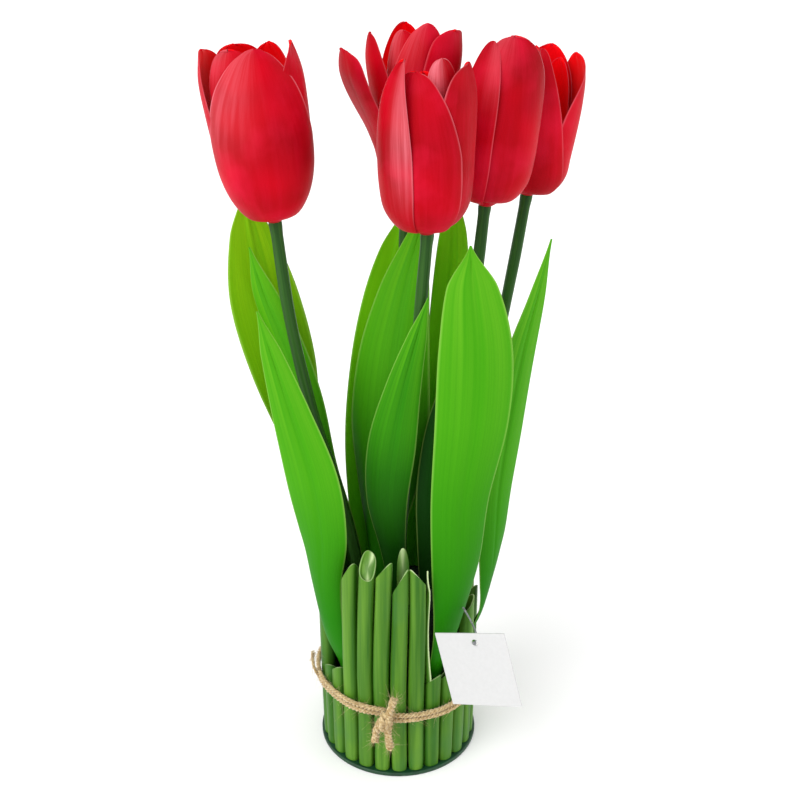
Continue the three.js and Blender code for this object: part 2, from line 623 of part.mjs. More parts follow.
function pinGeometry() {
  const inTag = (depth) => tag.localToWorld(new THREE.Vector3(TAG.hole[0], depth, TAG.hole[1]));
  const leaf = blade(LEAVES.find((l) => l.name === "leaf_front_right"));
  const anchor = leaf(PIN.anchor[0], PIN.anchor[1]);
  const away = inTag(3).sub(anchor).normalize();
  const tip = anchor.clone().addScaledVector(away, LEAF_THICKNESS + FIT_GAP);
  const path = new THREE.CatmullRomCurve3([
    inTag(-0.6), inTag(0.8), inTag(4).lerp(tip, 0.1), inTag(6).lerp(tip, 0.5), tip,
  ]);
  const head = inTag(-0.8);
  const ball = new THREE.SphereGeometry(PIN.headRadius, 8, 5).translate(head.x, head.y, head.z);
  return geometryOf(solid(tube(path, PIN.radius, 7, 5)).add(solid(ball)));
}
add("tag_pin", pinGeometry(), PIN_GREY);

export default group;
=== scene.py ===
# Artificial tulips in a ring of cut green stalks: the looks of every piece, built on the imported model.
# Lengths in the dictionaries are millimetres, angles are degrees, and mm turns a length to metres.
import math

import bpy
import numpy as np
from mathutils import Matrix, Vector


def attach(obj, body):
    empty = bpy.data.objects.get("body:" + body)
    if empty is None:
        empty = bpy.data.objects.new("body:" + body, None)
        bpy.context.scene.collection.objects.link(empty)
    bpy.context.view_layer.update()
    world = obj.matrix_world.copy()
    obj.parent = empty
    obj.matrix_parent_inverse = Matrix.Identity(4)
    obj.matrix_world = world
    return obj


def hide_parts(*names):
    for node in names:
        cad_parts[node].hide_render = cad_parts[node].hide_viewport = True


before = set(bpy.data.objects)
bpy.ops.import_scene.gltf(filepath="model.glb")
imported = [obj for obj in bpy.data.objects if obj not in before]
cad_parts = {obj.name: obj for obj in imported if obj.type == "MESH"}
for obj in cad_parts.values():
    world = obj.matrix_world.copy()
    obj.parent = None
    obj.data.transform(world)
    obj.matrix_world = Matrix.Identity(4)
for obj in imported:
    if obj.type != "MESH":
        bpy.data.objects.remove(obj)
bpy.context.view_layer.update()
scene = bpy.context.scene
mm = 0.001

# Camera and studio


def aimCamera():
    view = dict(place=(0.9, -530.2, 436.1), down=24.1, focalPixels=1180, frame=800, sensor=36)
    data = bpy.data.cameras.new("studioCamera")
    data.sensor_width = view["sensor"]
    data.lens = view["focalPixels"] / view["frame"] * view["sensor"]
    data.clip_start, data.clip_end = 0.05, 20
    camera = bpy.data.objects.new("studioCamera", data)
    camera.location = Vector(view["place"]) * mm
    camera.rotation_euler = (math.radians(90 - view["down"]), 0, 0)
    scene.collection.objects.link(camera)
    scene.camera = camera


def addSkylight(name, source, power, spread):  # an even light from one side, softened by its spread
    data = bpy.data.lights.new(name, "SUN")
    data.energy = power
    data.angle = math.radians(spread)
    lamp = bpy.data.objects.new(name, data)
    lamp.location = source
    lamp.rotation_euler = Vector(source).to_track_quat("Z", "Y").to_euler()
    scene.collection.objects.link(lamp)


def lightStudio():
    addSkylight("keyLight", (-0.8, -0.75, 0.8), power=2.0, spread=50)
    addSkylight("sideLight", (0.95, -0.1, 0.55), power=0.7, spread=60)
    world = bpy.data.worlds.new("studioWorld")
    world.use_nodes = True
    sky = world.node_tree.nodes["Background"]
    sky.inputs["Color"].default_value = (1, 1, 1, 1)
    sky.inputs["Strength"].default_value = 0.9
    scene.world = world
    scene.view_settings.view_transform = "Standard"


# Small maths shared by the pieces


def smooth(x, low, high):  # 0 below low, 1 above high, an S curve between
    t = np.clip((x - low) / (high - low), 0, 1)
    return t * t * (3 - 2 * t)


def bump(x, middle, width):  # a bell of height 1
    return np.exp(-(((x - middle) / width) ** 2))


def unit(v):
    return v / np.maximum(np.linalg.norm(v, axis=-1, keepdims=True), 1e-12)


def along(values, t):  # a smooth value through numbers spread evenly over t 0..1
    values = np.asarray(values, float)
    last = len(values) - 1
    s = np.clip(t, 0, 1) * last
    i = np.minimum(np.floor(s).astype(int), last - 1)
    a, b = values[np.clip(i - 1, 0, last)], values[i]
    c, d = values[i + 1], values[np.clip(i + 2, 0, last)]
    f = s - i
    return b + 0.5 * f * (c - a + f * (2 * a - 5 * b + 4 * c - d + f * (3 * (b - c) + d - a)))


def route(points, t):  # centripetal Catmull-Rom curve through the points, t 0..1
    p = np.asarray(points, float)
    p = np.vstack([2 * p[0] - p[1], p, 2 * p[-1] - p[-2]])
    s = np.clip(np.asarray(t, float), 0, 1) * (len(p) - 3)
    i = np.minimum(np.floor(s).astype(int), len(p) - 4)
    f = (s - i)[..., None]
    a, b, c, d = (p[i + k] for k in range(4))
    ab, bc, cd = (np.linalg.norm(q - r, axis=-1, keepdims=True) ** 0.5 for q, r in ((b, a), (c, b), (d, c)))
    start = ((b - a) / ab - (c - a) / (ab + bc) + (c - b) / bc) * bc
    end = ((c - b) / bc - (d - b) / (bc + cd) + (d - c) / cd) * bc
    return b + f * (start + f * (3 * (c - b) - 2 * start - end + f * (2 * (b - c) + start + end)))


def heading(points, t):  # direction of that curve
    return unit(route(points, np.minimum(t + 1e-4, 1)) - route(points, np.maximum(t - 1e-4, 0)))


# Meshes from grids. A chunk is a dictionary of verts, faces (arrays of 3 or 4 corners), the uv of
# each face's corners, and a pale value for each vertex that the materials read.


def gridChunk(points, pale=0.0, uv=None, capped=True):  # each row of points is a closed ring
    rows, cols = points.shape[:2]
    if uv is None:
        u, v = np.meshgrid(np.linspace(0, 1, cols + 1), np.linspace(0, 1, rows))
        uv = np.stack([u, v], -1)
    i, j = (k.ravel() for k in np.meshgrid(np.arange(rows - 1), np.arange(cols), indexing="ij"))
    n = (j + 1) % cols
    faces = [np.stack([i * cols + j, i * cols + n, (i + 1) * cols + n, (i + 1) * cols + j], -1)]
    uvs = [np.stack([uv[i, j], uv[i, j + 1], uv[i + 1, j + 1], uv[i + 1, j]], 1)]
    verts = points.reshape(-1, 3)
    tint = np.broadcast_to(np.asarray(pale, float), (rows, cols)).ravel()
    for end in (0, 1) if capped else ():  # a fan round the middle of an end row
        row = (rows - 1) * end
        ring = row * cols + np.arange(cols)
        following = np.roll(ring, -1)
        hub = np.full(cols, len(verts))
        order = [hub, ring, following] if end else [hub, following, ring]
        verts = np.vstack([verts, points[row].mean(0)])
        tint = np.append(tint, tint[ring].mean())
        faces.append(np.stack(order, -1))
        uvs.append(np.broadcast_to(uv[row, 0], (cols, 3, 2)))
    return dict(verts=verts, faces=faces, uvs=uvs, pale=tint)


# A closed thin sheet round the middle surface point(u, v), v -1..1: its two faces and rounded rims are
# one loop of vertices for each row, and its two ends are strips of quads between the faces. The pale
# value of its inner face is lowered by the given amount, which the petal material paints as light shining
# through.
def sheetChunk(point, thickness, rows, cols, pale, closer=1.0, inner=0.0):
    u, v = np.meshgrid(1 - (1 - np.linspace(0, 1, rows)) ** closer, np.linspace(-1, 1, cols), indexing="ij")
    e = 1e-3  # step of the slopes
    du = point(np.minimum(u + e, 1), v) - point(np.maximum(u - e, 0), v)
    dv = point(u, np.minimum(v + e, 1)) - point(u, np.maximum(v - e, -1))
    normal = unit(np.cross(du, dv))
    half = (thickness(u, v) / 2)[..., None]
    middle = point(u, v)
    top, bottom = middle + normal * half, middle - normal * half
    across = unit(dv)
    left = middle[:, :1] - across[:, :1] * half[:, :1] * 0.8
    right = middle[:, -1:] + across[:, -1:] * half[:, -1:] * 0.8
    loop = np.concatenate([top, right, bottom[:, ::-1], left], 1)
    spot = (v + 1) / 2
    uCols = np.concatenate([spot, np.ones((rows, 1)), spot[:, ::-1], np.zeros((rows, 2))], 1)
    uv = np.stack([uCols, np.broadcast_to(u[:, :1], uCols.shape)], -1)
    shade = pale(u, v)
    # Painted light: on the inner face the pale value drops below zero, which the petal material paints as
    # light shining through
    paintedGlowShare = shade - inner * (1 - smooth(shade, 0, 0.15))
    tint = np.concatenate([paintedGlowShare, shade[:, -1:], shade[:, ::-1], shade[:, :1]], 1)
    chunk = gridChunk(loop, tint, uv, capped=False)
    chunk["faces"][0] = chunk["faces"][0][:, ::-1]
    chunk["uvs"][0] = chunk["uvs"][0][:, ::-1]
    count = loop.shape[1]
    for row, turned in ((0, False), (rows - 1, True)):
        upper = row * count + np.arange(cols)
        lower = row * count + (2 * cols - np.arange(cols))
        quads = np.stack([upper[:-1], upper[1:], lower[1:], lower[:-1]], -1)
        last = row * count + count - 1
        ends = np.array([[upper[-1], upper[-1] + 1, lower[-1]], [upper[0], lower[0], last]])
        for faces in (quads, ends):
            chunk["faces"].append(faces[:, ::-1] if turned else faces)
            chunk["uvs"].append(np.broadcast_to(uv[row, 0], (*faces.shape, 2)))
    return chunk


# A tube: a ring of sides points carried along path, whose frame turns as little as it can
def tubeChunk(path, radius, sides):
    direction = unit(np.gradient(path, axis=0))
    side = unit(np.cross(direction[0], [0.31, 0.17, 0.93]))  # any direction but the path's own
    sideways = np.empty_like(path)
    for k, d in enumerate(direction):
        side = unit(side - d * (side @ d))
        sideways[k] = side
    other = np.cross(direction, sideways)
    a = np.linspace(0, 2 * np.pi, sides, endpoint=False)
    size = np.broadcast_to(np.asarray(radius, float), (len(path),))[:, None, None]
    ring = sideways[:, None] * np.cos(a)[None, :, None] + other[:, None] * np.sin(a)[None, :, None]
    return gridChunk(path[:, None] + ring * size)


def turnedChunk(r, z, sides):  # a body of revolution round z, through the radii r at the heights z
    a = np.linspace(0, 2 * np.pi, sides, endpoint=False)
    points = np.stack([r[:, None] * np.cos(a), r[:, None] * np.sin(a), z[:, None] * np.ones(sides)], -1)
    return gridChunk(points)


# Many fine hairs at once: three-sided tapered tubes from starts, bent along their own curves
def hairChunk(starts, directions, bends, lengths, radius):
    count, sections, sides = len(starts), 5, 3
    t = np.linspace(0, 1, sections)[None, :, None]
    path = starts[:, None] + (directions[:, None] * t + bends[:, None] * t**2) * lengths[:, None, None]
    side = unit(np.cross(directions, bends + 1e-3))[:, None]
    other = unit(np.cross(directions, side[:, 0]))[:, None]
    width = radius * (1 - 0.7 * t)
    rings = []
    for a in np.linspace(0, 2 * np.pi, sides, endpoint=False):
        rings.append(path + (side * math.cos(a) + other * math.sin(a)) * width)
    points = np.stack(rings, 2)
    ranges = np.arange(count), np.arange(sections - 1), np.arange(sides)
    i, j, k = (q.ravel() for q in np.meshgrid(*ranges, indexing="ij"))
    at = lambda row, col: (i * sections + row) * sides + col % sides
    quads = np.stack([at(j, k), at(j, k + 1), at(j + 1, k + 1), at(j + 1, k)], -1)
    root = np.arange(count)[:, None] * sections * sides
    tip = root + (sections - 1) * sides
    ends = np.vstack([root + [2, 1, 0], tip + [0, 1, 2]])
    return dict(
        verts=points.reshape(-1, 3), faces=[quads, ends], pale=np.full(count * sections * sides, 0.5),
        uvs=[np.full((*quads.shape, 2), 0.5), np.full((*ends.shape, 2), 0.5)],
    )


# One mesh of all the chunks. Edges sharper than 50 degrees stay crisp.
def addPiece(name, chunks, material, replaced):
    verts = np.vstack([c["verts"] for c in chunks]) * mm
    starts = np.cumsum([0] + [len(c["verts"]) for c in chunks])
    faces = [f + start for c, start in zip(chunks, starts) for f in c["faces"]]
    corners = np.concatenate([f.ravel() for f in faces])
    totals = np.concatenate([np.full(len(f), f.shape[1]) for f in faces])
    uv = np.concatenate([np.asarray(u).reshape(-1, 2) for c in chunks for u in c["uvs"]])
    mesh = bpy.data.meshes.new(name)
    mesh.vertices.add(len(verts))
    mesh.vertices.foreach_set("co", verts.astype(np.float32).ravel())
    mesh.loops.add(len(corners))
    mesh.loops.foreach_set("vertex_index", corners.astype(np.int32))
    mesh.polygons.add(len(totals))
    mesh.polygons.foreach_set("loop_start", (np.cumsum(totals) - totals).astype(np.int32))
    mesh.polygons.foreach_set("loop_total", totals.astype(np.int32))
    mesh.uv_layers.new(name="UVMap").data.foreach_set("uv", uv.astype(np.float32).ravel())
    shade = mesh.attributes.new("pale", "FLOAT", "POINT")
    shade.data.foreach_set("value", np.concatenate([c["pale"] for c in chunks]).astype(np.float32))
    mesh.update(calc_edges=True)
    mesh.shade_smooth()
    mesh.set_sharp_from_angle(angle=math.radians(50))
    mesh.materials.append(material)
    piece = bpy.data.objects.new(name, mesh)
    scene.collection.objects.link(piece)
    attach(piece, "root")
    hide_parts(*replaced)


# Materials


def tone(code):  # sRGB hex to linear colour
    parts = [int(code[i:i + 2], 16) / 255 for i in (1, 3, 5)]
    return tuple(c / 12.92 if c <= 0.04045 else ((c + 0.055) / 1.055) ** 2.4 for c in parts) + (1,)


def startMaterial(name, roughness=0.5, ior=1.46, specular=0.5):
    material = bpy.data.materials.new(name)
    material.use_nodes = True
    shader = material.node_tree.nodes["Principled BSDF"]
    shader.inputs["Roughness"].default_value = roughness
    shader.inputs["IOR"].default_value = ior
    shader.inputs["Specular IOR Level"].default_value = specular
    return material, shader


# Adds a node, sets its properties and input values, and links inputs that are given as sockets
def addNode(material, kind, inputs=None, **settings):
    node = material.node_tree.nodes.new("ShaderNode" + kind)
    for key, value in settings.items():
        setattr(node, key, value)
    for key, value in (inputs or {}).items():
        if isinstance(value, bpy.types.NodeSocket):
            material.node_tree.links.new(value, node.inputs[key])
        else:
            node.inputs[key].default_value = value
    return node


def link(material, source, target):
    material.node_tree.links.new(source, target)


# Mixes two colours, each a hex code or a socket, by the socket factor
def blendColours(material, factor, first, second):
    given = {0: factor}
    for key, value in ((6, first), (7, second)):
        given[key] = value if isinstance(value, bpy.types.NodeSocket) else tone(value)
    return addNode(material, "Mix", given, data_type="RGBA").outputs[2]


# Noise in the piece's own UV map, stretched so that its marks run along the piece
def streaks(material, across, lengthwise, detail=3.0):
    uv = addNode(material, "TexCoord").outputs["UV"]
    placed = addNode(material, "Mapping", {"Vector": uv, "Scale": (across, lengthwise, 1)})
    noise = addNode(material, "TexNoise", {
        "Vector": placed.outputs["Vector"], "Scale": 1.0, "Detail": detail, "Roughness": 0.55})
    return noise.outputs["Fac"]


def spots(material, perMetre, detail=3.0):  # noise in the object's own metres
    place = addNode(material, "TexCoord").outputs["Object"]
    noise = addNode(material, "TexNoise", {"Vector": place, "Scale": perMetre, "Detail": detail})
    return noise.outputs["Fac"]


def ranged(material, value, low, high, toLow=0.0, toHigh=1.0):
    node = addNode(material, "MapRange", {
        "Value": value, "From Min": low, "From Max": high, "To Min": toLow, "To Max": toHigh})
    return node.outputs["Result"]


def paleness(material):
    return addNode(material, "Attribute", attribute_name="pale").outputs["Fac"]


def roughen(material, shader, height, distance, strength=1.0):
    node = addNode(material, "Bump", {"Height": height, "Distance": distance * mm, "Strength": strength})
    link(material, node.outputs["Normal"], shader.inputs["Normal"])


# Moulded soft PU with a silky print: crimson with soft rosy patches and fine lengthwise streaks, an inner
# face brightened by painted light shining through, a pale worn rim whose colour also paints highlights on
# some petals, and a soft sheen
def petalMaterial():
    # Colours: the brightest red paints light shining through the inner face, and the pale pink is the worn
    # rim and also the painted highlights
    look = dict(deep="#92000c", body="#bc0016", rosy="#d8183a", inner="#ea0208", rim="#f0909c",
                streaksAcross=14, ribsAcross=46)
    material, shader = startMaterial("printedPuPetal", roughness=0.5, specular=0.06)
    patch = ranged(material, spots(material, 26, 2.0), 0.3, 0.6)
    fine = ranged(material, streaks(material, look["streaksAcross"], 2.2, 4.0), 0.42, 0.72)
    colour = blendColours(material, patch, look["deep"], look["body"])
    high = ranged(material, spots(material, 40, 3.0), 0.5, 0.8, 0.0, 0.6)
    part = addNode(material, "Math", {0: fine, 1: 0.16, 2: high}, operation="MULTIPLY_ADD",
                   use_clamp=True).outputs[0]
    colour = blendColours(material, part, colour, look["rosy"])
    # Painted light: inner faces, marked by a pale value below zero, turn the brightest red as if lit through
    paintedGlowShare = ranged(material, paleness(material), 0, -1)
    colour = blendColours(material, paintedGlowShare, colour, look["inner"])
    # Pale worn rim, and the painted highlights of the petals that have one, both in the pale pink
    rimAndPaintedHighlight = addNode(material, "Math", {0: paleness(material), 1: ranged(material, fine, 0, 1, 0.5, 1.3)},
                   operation="MULTIPLY", use_clamp=True).outputs[0]
    colour = blendColours(material, rimAndPaintedHighlight, colour, look["rim"])
    link(material, colour, shader.inputs["Base Color"])
    shader.inputs["Sheen Weight"].default_value = 0.06
    shader.inputs["Sheen Roughness"].default_value = 0.35
    shader.inputs["Sheen Tint"].default_value = tone("#ffd8dc")
    roughen(material, shader, streaks(material, look["ribsAcross"], 4.0, 3.0), 0.25, 0.3)
    return material


# Moulded satin PE leaf: deep green at its foot, which is painted shade, and fresh towards its tip, with
# parallel veins and a thin, paler trimmed rim
def leafMaterial(name, foot, body, light):
    veins = 34
    material, shader = startMaterial(name, roughness=0.5, ior=1.5, specular=0.07)
    uv = addNode(material, "TexCoord").outputs["UV"]
    rise = addNode(material, "SeparateXYZ", {"Vector": uv}).outputs["Y"]
    broad = ranged(material, streaks(material, 4.0, 0.9, 2.0), 0.36, 0.66)
    fine = ranged(material, streaks(material, veins, 0.35, 2.0), 0.38, 0.68)
    # Painted shade: darker towards the foot, where the leaves stand in the shade of the ring, and lighter
    # towards the tip
    colour = blendColours(material, ranged(material, rise, 0.3, 0.62), foot, body)
    upper = addNode(material, "Math", {0: ranged(material, rise, 0.5, 0.9), 1: broad}, operation="MULTIPLY")
    colour = blendColours(material, upper.outputs[0], colour, light)
    part = addNode(material, "Math", {0: fine, 1: 0.2}, operation="MULTIPLY").outputs[0]
    colour = blendColours(material, part, colour, foot)
    colour = blendColours(material, paleness(material), colour, "#a8cc66")
    link(material, colour, shader.inputs["Base Color"])
    roughen(material, shader, streaks(material, veins, 0.35, 2.0), 0.2, 0.5)
    return material


# Extruded PE stem over a wire: dark green, faintly ribbed along its length
def stemMaterial():
    material, shader = startMaterial("extrudedStem", roughness=0.45, specular=0.2)
    mark = ranged(material, streaks(material, 9.0, 2.5, 3.0), 0.35, 0.7)
    colour = blendColours(material, mark, "#1c4410", "#346020")
    link(material, colour, shader.inputs["Base Color"])
    roughen(material, shader, streaks(material, 16.0, 4.0, 2.0), 0.15, 0.5)
    return material


# Rolled PE leaf offcuts: satin mid green with olive and bluish streaks, whitish where they are cut
def stalkMaterial():
    material, shader = startMaterial("rolledStalk", roughness=0.45, specular=0.2)
    place = addNode(material, "TexCoord").outputs["Object"]
    placed = addNode(material, "Mapping", {"Vector": place, "Scale": (260, 260, 9)})
    noise = addNode(material, "TexNoise", {"Vector": placed.outputs["Vector"], "Scale": 1.0, "Detail": 3.0})
    mark = ranged(material, noise.outputs["Fac"], 0.36, 0.68)
    colour = blendColours(material, mark, "#2f6210", "#5a8826")
    cloud = ranged(material, spots(material, 42, 2.0), 0.5, 0.75, 0.0, 0.6)
    colour = blendColours(material, cloud, colour, "#3c7030")
    colour = blendColours(material, paleness(material), colour, "#c4d8a0")
    link(material, colour, shader.inputs["Base Color"])
    roughen(material, shader, noise.outputs["Fac"], 0.2, 0.6)
    return material


# Jute: matt tan plies whose fibres lie across the twist
def juteMaterial():
    material, shader = startMaterial("twistedJute", roughness=0.95)
    mark = ranged(material, spots(material, 900, 4.0), 0.34, 0.7)
    colour = blendColours(material, mark, "#9c7c48", "#dcc89a")
    cloud = ranged(material, spots(material, 150, 2.0), 0.45, 0.8, 0.0, 0.5)
    colour = blendColours(material, cloud, colour, "#86683a")
    link(material, colour, shader.inputs["Base Color"])
    shader.inputs["Sheen Weight"].default_value = 0.4
    roughen(material, shader, spots(material, 1800, 3.0), 0.3, 0.8)
    return material


# Flower foam: near-black green with an open grain
def foamMaterial():
    material, shader = startMaterial("nearBlackFoam", roughness=1.0)
    mark = ranged(material, spots(material, 700, 4.0), 0.35, 0.7)
    colour = blendColours(material, mark, "#04100a", "#123018")
    link(material, colour, shader.inputs["Base Color"])
    roughen(material, shader, spots(material, 900, 4.0), 0.8)
    return material


# Moulded PP base: smooth dark green with a faint grain
def baseMaterial():
    material, shader = startMaterial("mouldedBase", roughness=0.45)
    mark = ranged(material, spots(material, 300, 3.0), 0.3, 0.7)
    colour = blendColours(material, mark, "#08301a", "#0f4424")
    link(material, colour, shader.inputs["Base Color"])
    roughen(material, shader, spots(material, 1500, 2.0), 0.08)
    return material


# Uncoated white card: slightly mottled, with soft fibres
def cardMaterial():
    material, shader = startMaterial("uncoatedCard", roughness=0.75)
    mark = ranged(material, spots(material, 500, 4.0), 0.3, 0.7)
    colour = blendColours(material, mark, "#c2c2c2", "#c6c6c6")
    link(material, colour, shader.inputs["Base Color"])
    roughen(material, shader, spots(material, 2500, 2.0), 0.04)
    return material


# Grey nylon tag pin: drawn, slightly glossy
def pinMaterial():
    material, shader = startMaterial("drawnNylon", roughness=0.35, ior=1.53)
    mark = ranged(material, spots(material, 900, 2.0), 0.3, 0.7)
    link(material, blendColours(material, mark, "#55585a", "#8d9092"), shader.inputs["Base Color"])
    return material


# White studio floor: matt, with the faintest mottling
def floorMaterial():
    material, shader = startMaterial("paintedFloor", roughness=0.9)
    mark = spots(material, 6, 2.0)
    link(material, blendColours(material, mark, "#f7f7f7", "#fbfbfb"), shader.inputs["Base Color"])
    return material


# Tulips. Each petal has the direction it stands in, its half angle, how far it leans out, its length as a
# share of the head's, how far it lies inside the others, how far one edge stands out and the other in, the
# two powers that shape its tip, and how far that moves to one side. Some have a painted highlight, which is
# how pale it makes them, from what share of their height and towards which side, and how pale their edge is.

tulips = dict(
    left=dict(
        stem=[(-19, 3, 36), (-21, 3, 96), (-29, 2, 140), (-43, 0.5, 195), (-51.7, 0, 242), (-56.6, 0, 288)],
        axis=(-0.1, -0.02, 1), height=75, radius=22.6,
        radii=[0.22, 0.52, 0.79, 0.95, 1, 0.98, 0.92, 0.77],
        petals=[
            dict(at=274, half=83, open=0, length=1.04, inset=0, lap=0, tip=(1.15, 0.55), skew=0.12,
                 paintedHighlight=(0.22, 0.4, -1), edge=0.6),
            dict(at=165, half=50, open=5.6, length=1.02, inset=1.6, lap=0, tip=(4.8, 0.5), skew=0.2),
            dict(at=338, half=47, open=2.6, length=1.02, inset=2.2, lap=1, tip=(2.4, 0.6), skew=0.6),
            dict(at=243, half=46, open=-0.5, length=1.03, inset=2, lap=-0.4, tip=(4.8, 0.5), skew=0,
                 paintedHighlight=(0.45, 0.75, -1)),
            dict(at=58, half=62, open=-1, length=1, inset=3, lap=1.1, tip=(2.4, 0.6), skew=0),
            dict(at=130, half=60, open=-1, length=1, inset=4, lap=1.1, tip=(4.8, 0.5), skew=0)]),
    front=dict(
        stem=[(-0.5, -2, 36), (0.5, -3, 96), (3, -4, 150), (7, -6.5, 200), (10.2, -9, 246), (13.2, -13, 286)],
        axis=(-0.035, -0.03, 1), height=72, radius=21.8,
        petals=[
            dict(at=222, half=31, open=1, length=1.08, inset=0.6, lap=0, tip=(1.3, 0.62), skew=0.75,
                 paintedHighlight=(0.3, 0.2, 1), edge=0.4),
            dict(at=257, half=65, open=-1.2, length=1, inset=1.4, lap=3.4, tip=(1.2, 0.5), skew=0, edge=0.35),
            dict(at=340, half=52, open=4, length=1.01, inset=2, lap=2.4, tip=(4.8, 0.5), skew=0.25,
                 edge=0.35),
            dict(at=312, half=38, open=-1, length=1.02, inset=5.4, lap=1.4, tip=(3.2, 0.5), skew=0,
                 paintedHighlight=(0.75, 0.6, -1), edge=0.7),
            dict(at=90, half=62, open=-3, length=0.93, inset=1.6, lap=1.2, tip=(2.4, 0.6), skew=0),
            dict(at=160, half=54, open=-3, length=0.95, inset=2.4, lap=1.2, tip=(2.4, 0.6), skew=0)]),
    back=dict(
        stem=[(-3, 17, 36), (-2, 18, 96), (0, 21, 150), (2, 24, 210), (3, 29, 255), (3.5, 34, 292)],
        axis=(0.035, 0, 1), height=76, radius=17,
        petals=[
            dict(at=216, half=40, open=24, length=0.87, inset=3, lap=0, tip=(10, 0.5), skew=-0.9, bend=30),
            dict(at=204, half=60, open=11.5, length=0.95, inset=4.4, lap=0.6, tip=(3, 0.55), skew=0.1),
            dict(at=289, half=56, open=4, length=1.055, inset=0, lap=1, tip=(2.4, 0.55), skew=0.15,
                 paintedHighlight=(0.2, 0.6, -1)),
            dict(at=327, half=58, open=11, length=1.01, inset=1.4, lap=1.5, tip=(4.8, 0.5), skew=0, bend=15),
            dict(at=250, half=50, open=2, length=0.96, inset=5.6, lap=0.6, tip=(4.8, 0.5), skew=0,
                 paintedHighlight=(0.3, 0.5, -1)),
            dict(at=104, half=50, open=1, length=1.01, inset=1.2, lap=1.1, tip=(2.4, 0.55), skew=0)]),
    right=dict(
        stem=[(18, 0, 36), (20, 0.5, 96), (26, 4, 150), (33, 9, 210), (38, 14, 260), (41, 17.5, 291)],
        axis=(0.11, 0, 1), height=75, radius=20.8,
        petals=[
            dict(at=237, half=27, open=-1, length=0.995, inset=0, lap=0.6, tip=(2.4, 0.5), skew=0.1,
                 paintedHighlight=(0.2, 0.6, 1)),
            dict(at=288, half=66, open=-1, length=1.03, inset=1.4, lap=1.4, tip=(2.2, 0.5), skew=-0.2,
                 paintedHighlight=(0.22, 0.7, -1), edge=0.6),
            dict(at=20, half=54, open=-1, length=0.96, inset=1.2, lap=1.1, tip=(2.4, 0.6), skew=0),
            dict(at=90, half=46, open=-3, length=0.94, inset=2.4, lap=1.1, tip=(2.4, 0.6), skew=0),
            dict(at=140, half=52, open=-4, length=0.92, inset=4.6, lap=-1.1, tip=(2.4, 0.6), skew=0),
            dict(at=184, half=46, open=-3, length=0.88, inset=2, lap=-1.1, tip=(2.4, 0.6), skew=0)]),
    far_right=dict(
        stem=[(20, 9, 36), (22, 11, 96), (25.5, 15, 118), (34, 25, 150), (48, 36, 200), (58, 44, 252),
              (64, 50, 288)],
        axis=(0.125, 0.02, 1), height=71, radius=19.4,
        radii=[0.22, 0.7, 0.97, 1, 1, 0.98, 0.92, 0.77],
        petals=[
            dict(at=248, half=76, open=0, length=0.99, inset=0, lap=0.6, tip=(1, 0.65), skew=0, widest=0.25),
            dict(at=9, half=70, open=2.5, length=0.95, inset=1.4, lap=0.8, tip=(2.8, 0.7), skew=0.4,
                 widest=0.4),
            dict(at=84, half=62, open=0, length=0.97, inset=2.8, lap=1.1, tip=(2.4, 0.6), skew=0),
            dict(at=165, half=54, open=0, length=0.92, inset=1.4, lap=-1.1, tip=(2.4, 0.6), skew=0),
            dict(at=205, half=46, open=-3, length=0.92, inset=4.2, lap=1.1, tip=(2.4, 0.6), skew=0),
            dict(at=50, half=46, open=-2, length=0.88, inset=4.6, lap=1.1, tip=(2.4, 0.6), skew=0)]),
)
petal = dict(
    radii=[0.22, 0.6, 0.9, 0.99, 1, 0.98, 0.92, 0.77], heights=[0.03, 0.035, 0.145, 0.3, 0.48, 0.66, 0.84, 1],
    widest=0.58, bend=9, thickness=0.8, rim=0.35, seat=2.3, lift=0.6,
    groove=0.16, grooveWidth=0.12, wave=0.4, dent=0.4, ripple=0.35,
    # the last value on this line sets how strongly inner faces get painted light shining through
    rows=56, cols=37, closer=1.3, plainEdge=0.22, paintedGlowAmount=0.9,
    cup=[(0, -2), (3.2, -1), (6.8, 2.2), (5.6, 5), (0, 6.4)],
)
stem = dict(radius=2.9, rows=150, sides=20, into=3)


